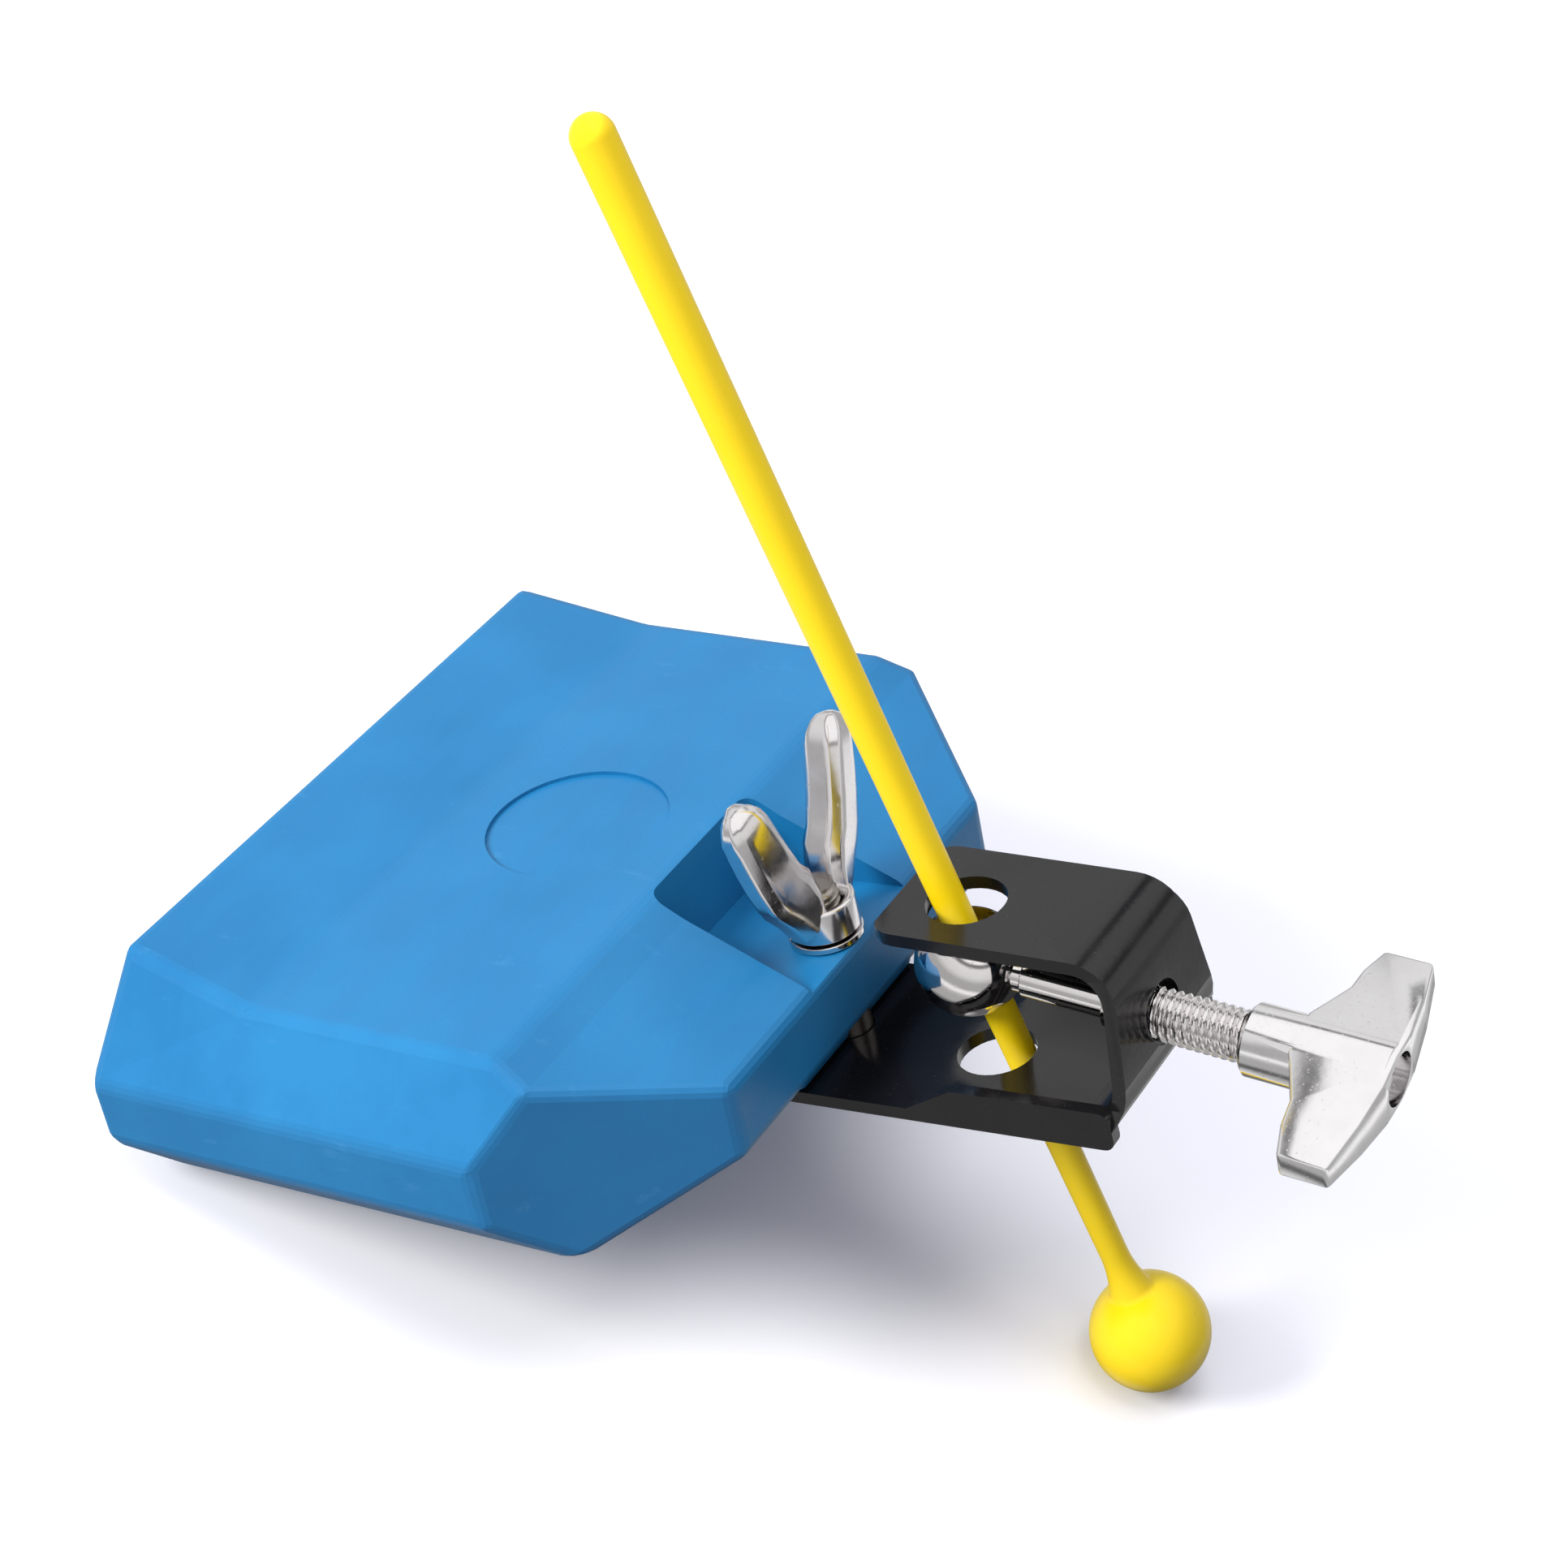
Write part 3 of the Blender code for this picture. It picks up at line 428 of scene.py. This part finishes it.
def mallet(material):
    """One turned moulding from the ball's pole to the handle's domed end."""
    length = BALL_DISTANCE + HANDLE_LENGTH
    join = asin(BALL_NECK_RADIUS / BALL_RADIUS)
    profile = [(0, -BALL_RADIUS)]
    for i in range(1, 41):
        a = -pi / 2 + (pi - join) * i / 40
        profile.append((BALL_RADIUS * cos(a), BALL_RADIUS * sin(a)))
    start = BALL_RADIUS * cos(join)
    for i in range(1, 13):
        share = i / 12
        radius = STICK_BALL_RADIUS + (BALL_NECK_RADIUS - STICK_BALL_RADIUS) * (1 - share) ** 2
        profile.append((radius, start + BALL_NECK_LENGTH * share))
    for i in range(13):
        a = pi / 2 * i / 12
        radius = 0 if i == 12 else STICK_END_RADIUS * cos(a)
        profile.append((radius, length - STICK_END_RADIUS * (1 - sin(a))))
    bm = bmesh.new()
    ring_mesh(bm, profile, steps=64)
    stick = piece("mallet_moulding", bm, stick_frame, material, "mallet", 50)
    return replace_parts(stick, "mallet")


def studio_floor():
    """A pale sheet that fades out far from the object; it takes the shadow and lights nothing."""
    bm = bmesh.new()
    bmesh.ops.create_circle(bm, cap_ends=True, segments=96, radius=FLOOR_RADIUS)
    mesh = bpy.data.meshes.new("studio_floor")
    bm.to_mesh(mesh)
    bm.free()
    finish = Finish("floor_paper", Base_Color=(0.93, 0.93, 0.94, 1), Roughness=0.9)
    finish.shader.inputs["Specular IOR Level"].default_value = 0.1
    distance = finish.node("VectorMath", {"operation": "LENGTH"}, {0: finish.place}, output="Value")
    fade = finish.ramp(distance, *(FLOOR_RADIUS * share for share in FLOOR_FADE))
    clear = finish.node("BsdfTransparent")
    paper = Value(finish, finish.shader.outputs[0])
    mixed = finish.node("MixShader", None, {0: fade, 1: paper, 2: clear})
    finish.links.new(mixed.socket, finish.nodes["Material Output"].inputs["Surface"])
    mesh.materials.append(finish.material)
    floor = bpy.data.objects.new("studio_floor", mesh)
    bpy.context.scene.collection.objects.link(floor)
    floor.visible_diffuse = False
    floor.visible_glossy = False


def area_light(name, place, size, power, colour=(1, 1, 1)):
    """A round lamp aimed at the object, which reflections leave out."""
    data = bpy.data.lights.new(name, "AREA")
    data.shape = "DISK"
    data.size = size
    data.energy = power
    data.color = colour
    lamp = bpy.data.objects.new(name, data)
    lamp.visible_glossy = False
    bpy.context.scene.collection.objects.link(lamp)
    lamp.location = place
    lamp.rotation_euler = (Vector(LIT_POINT) - Vector(place)).to_track_quat("-Z", "Y").to_euler()


def sky_tones(nodes, links, side, tones, tint=(1, 1, 1)):
    """A background whose grey runs from -1, looking away from a side, to 1, looking towards it."""
    direction = nodes.new("ShaderNodeTexCoord")
    towards = nodes.new("ShaderNodeVectorMath")
    towards.operation = "DOT_PRODUCT"
    towards.inputs[1].default_value = side
    links.new(direction.outputs["Generated"], towards.inputs[0])
    share = nodes.new("ShaderNodeMapRange")
    share.inputs["From Min"].default_value = -1
    links.new(towards.outputs["Value"], share.inputs["Value"])
    ramp = nodes.new("ShaderNodeValToRGB")
    while len(ramp.color_ramp.elements) < len(tones):
        ramp.color_ramp.elements.new(0.5)
    for element, (reach, tone) in zip(ramp.color_ramp.elements, tones):
        element.position = (reach + 1) / 2
        element.color = [tone * part for part in tint] + [1]
    links.new(share.outputs[0], ramp.inputs[0])
    background = nodes.new("ShaderNodeBackground")
    links.new(ramp.outputs[0], background.inputs["Color"])
    return background


def studio_world():
    """White to the camera, a soft fill to matt surfaces and a set of grey bands to the plated ones."""
    world = bpy.data.worlds.new("studio")
    bpy.context.scene.world = world
    world.use_nodes = True
    nodes, links = world.node_tree.nodes, world.node_tree.links
    fill = sky_tones(nodes, links, FILL_SIDE, FILL_TONES, FILL_TINT)
    fill.inputs["Strength"].default_value = FILL_STRENGTH
    seen = sky_tones(nodes, links, (0, 0, 1), REFLECTED_TONES)
    white = nodes["Background"]
    white.inputs["Color"].default_value = (1, 1, 1, 1)
    path = nodes.new("ShaderNodeLightPath")
    previous = fill.outputs[0]
    for ray, shader in (("Is Glossy Ray", seen), ("Is Transmission Ray", white), ("Is Camera Ray", white)):
        mix = nodes.new("ShaderNodeMixShader")
        links.new(path.outputs[ray], mix.inputs[0])
        links.new(previous, mix.inputs[1])
        links.new(shader.outputs[0], mix.inputs[2])
        previous = mix.outputs[0]
    links.new(previous, nodes["World Output"].inputs["Surface"])


def camera():
    """The photograph's view; down is made square to right."""
    right, down = Vector(CAMERA_RIGHT).normalized(), Vector(CAMERA_DOWN)
    down = (down - down.dot(right) * right).normalized()
    back = right.cross(-down)
    turn = Matrix((right, -down, back)).transposed().to_4x4()
    data = bpy.data.cameras.new("photo_view")
    data.lens = CAMERA_LENS
    data.sensor_width = CAMERA_SENSOR
    data.clip_start = CAMERA_NEAR
    obj = bpy.data.objects.new("photo_view", data)
    bpy.context.scene.collection.objects.link(obj)
    obj.matrix_world = block @ Matrix.Translation(Vector(CAMERA_PLACE) * MM) @ turn
    bpy.context.scene.camera = obj


chrome = plated("chrome_plate", (0.66, 0.63, 0.62, 1), (0.80, 0.78, 0.78, 1), 0.05, 0.13, 0.5)
casting = plated("plated_casting", (0.70, 0.68, 0.68, 1), (0.86, 0.85, 0.86, 1), 0.09, 0.2, 0.8)
enamel = black_enamel()

dress_block(moulded_blue())
bracket = rounded("clamp_bracket", "clamp_bracket_enamelled", ENAMEL_EDGE, 3, enamel, "clamped_block")
handle = rounded("tee_nut", "tee_nut_casting", CASTING_EDGE, 3, casting, "tee_nut")
washer = rounded("flat_washer", "flat_washer_plated", WASHER_EDGE, 2, chrome, "washer")
wing_nut(plated("satin_chrome", (0.66, 0.63, 0.63, 1), (0.82, 0.80, 0.81, 1), 0.13, 0.22, 0.5))
mounting_bolt(plated("dull_steel", (0.26, 0.24, 0.22, 1), (0.40, 0.37, 0.34, 1), 0.24, 0.38, 0.5))
eye_bolt(chrome)
mallet(moulded_yellow())

studio_floor()
studio_world()
area_light("key", place=(-0.95, -0.95, 0.68), size=0.7, power=28, colour=(1.0, 0.98, 0.94))
area_light("top", place=(0.0, 0.0, 1.35), size=0.9, power=9)
camera()
bpy.context.scene.view_settings.view_transform = "Standard"
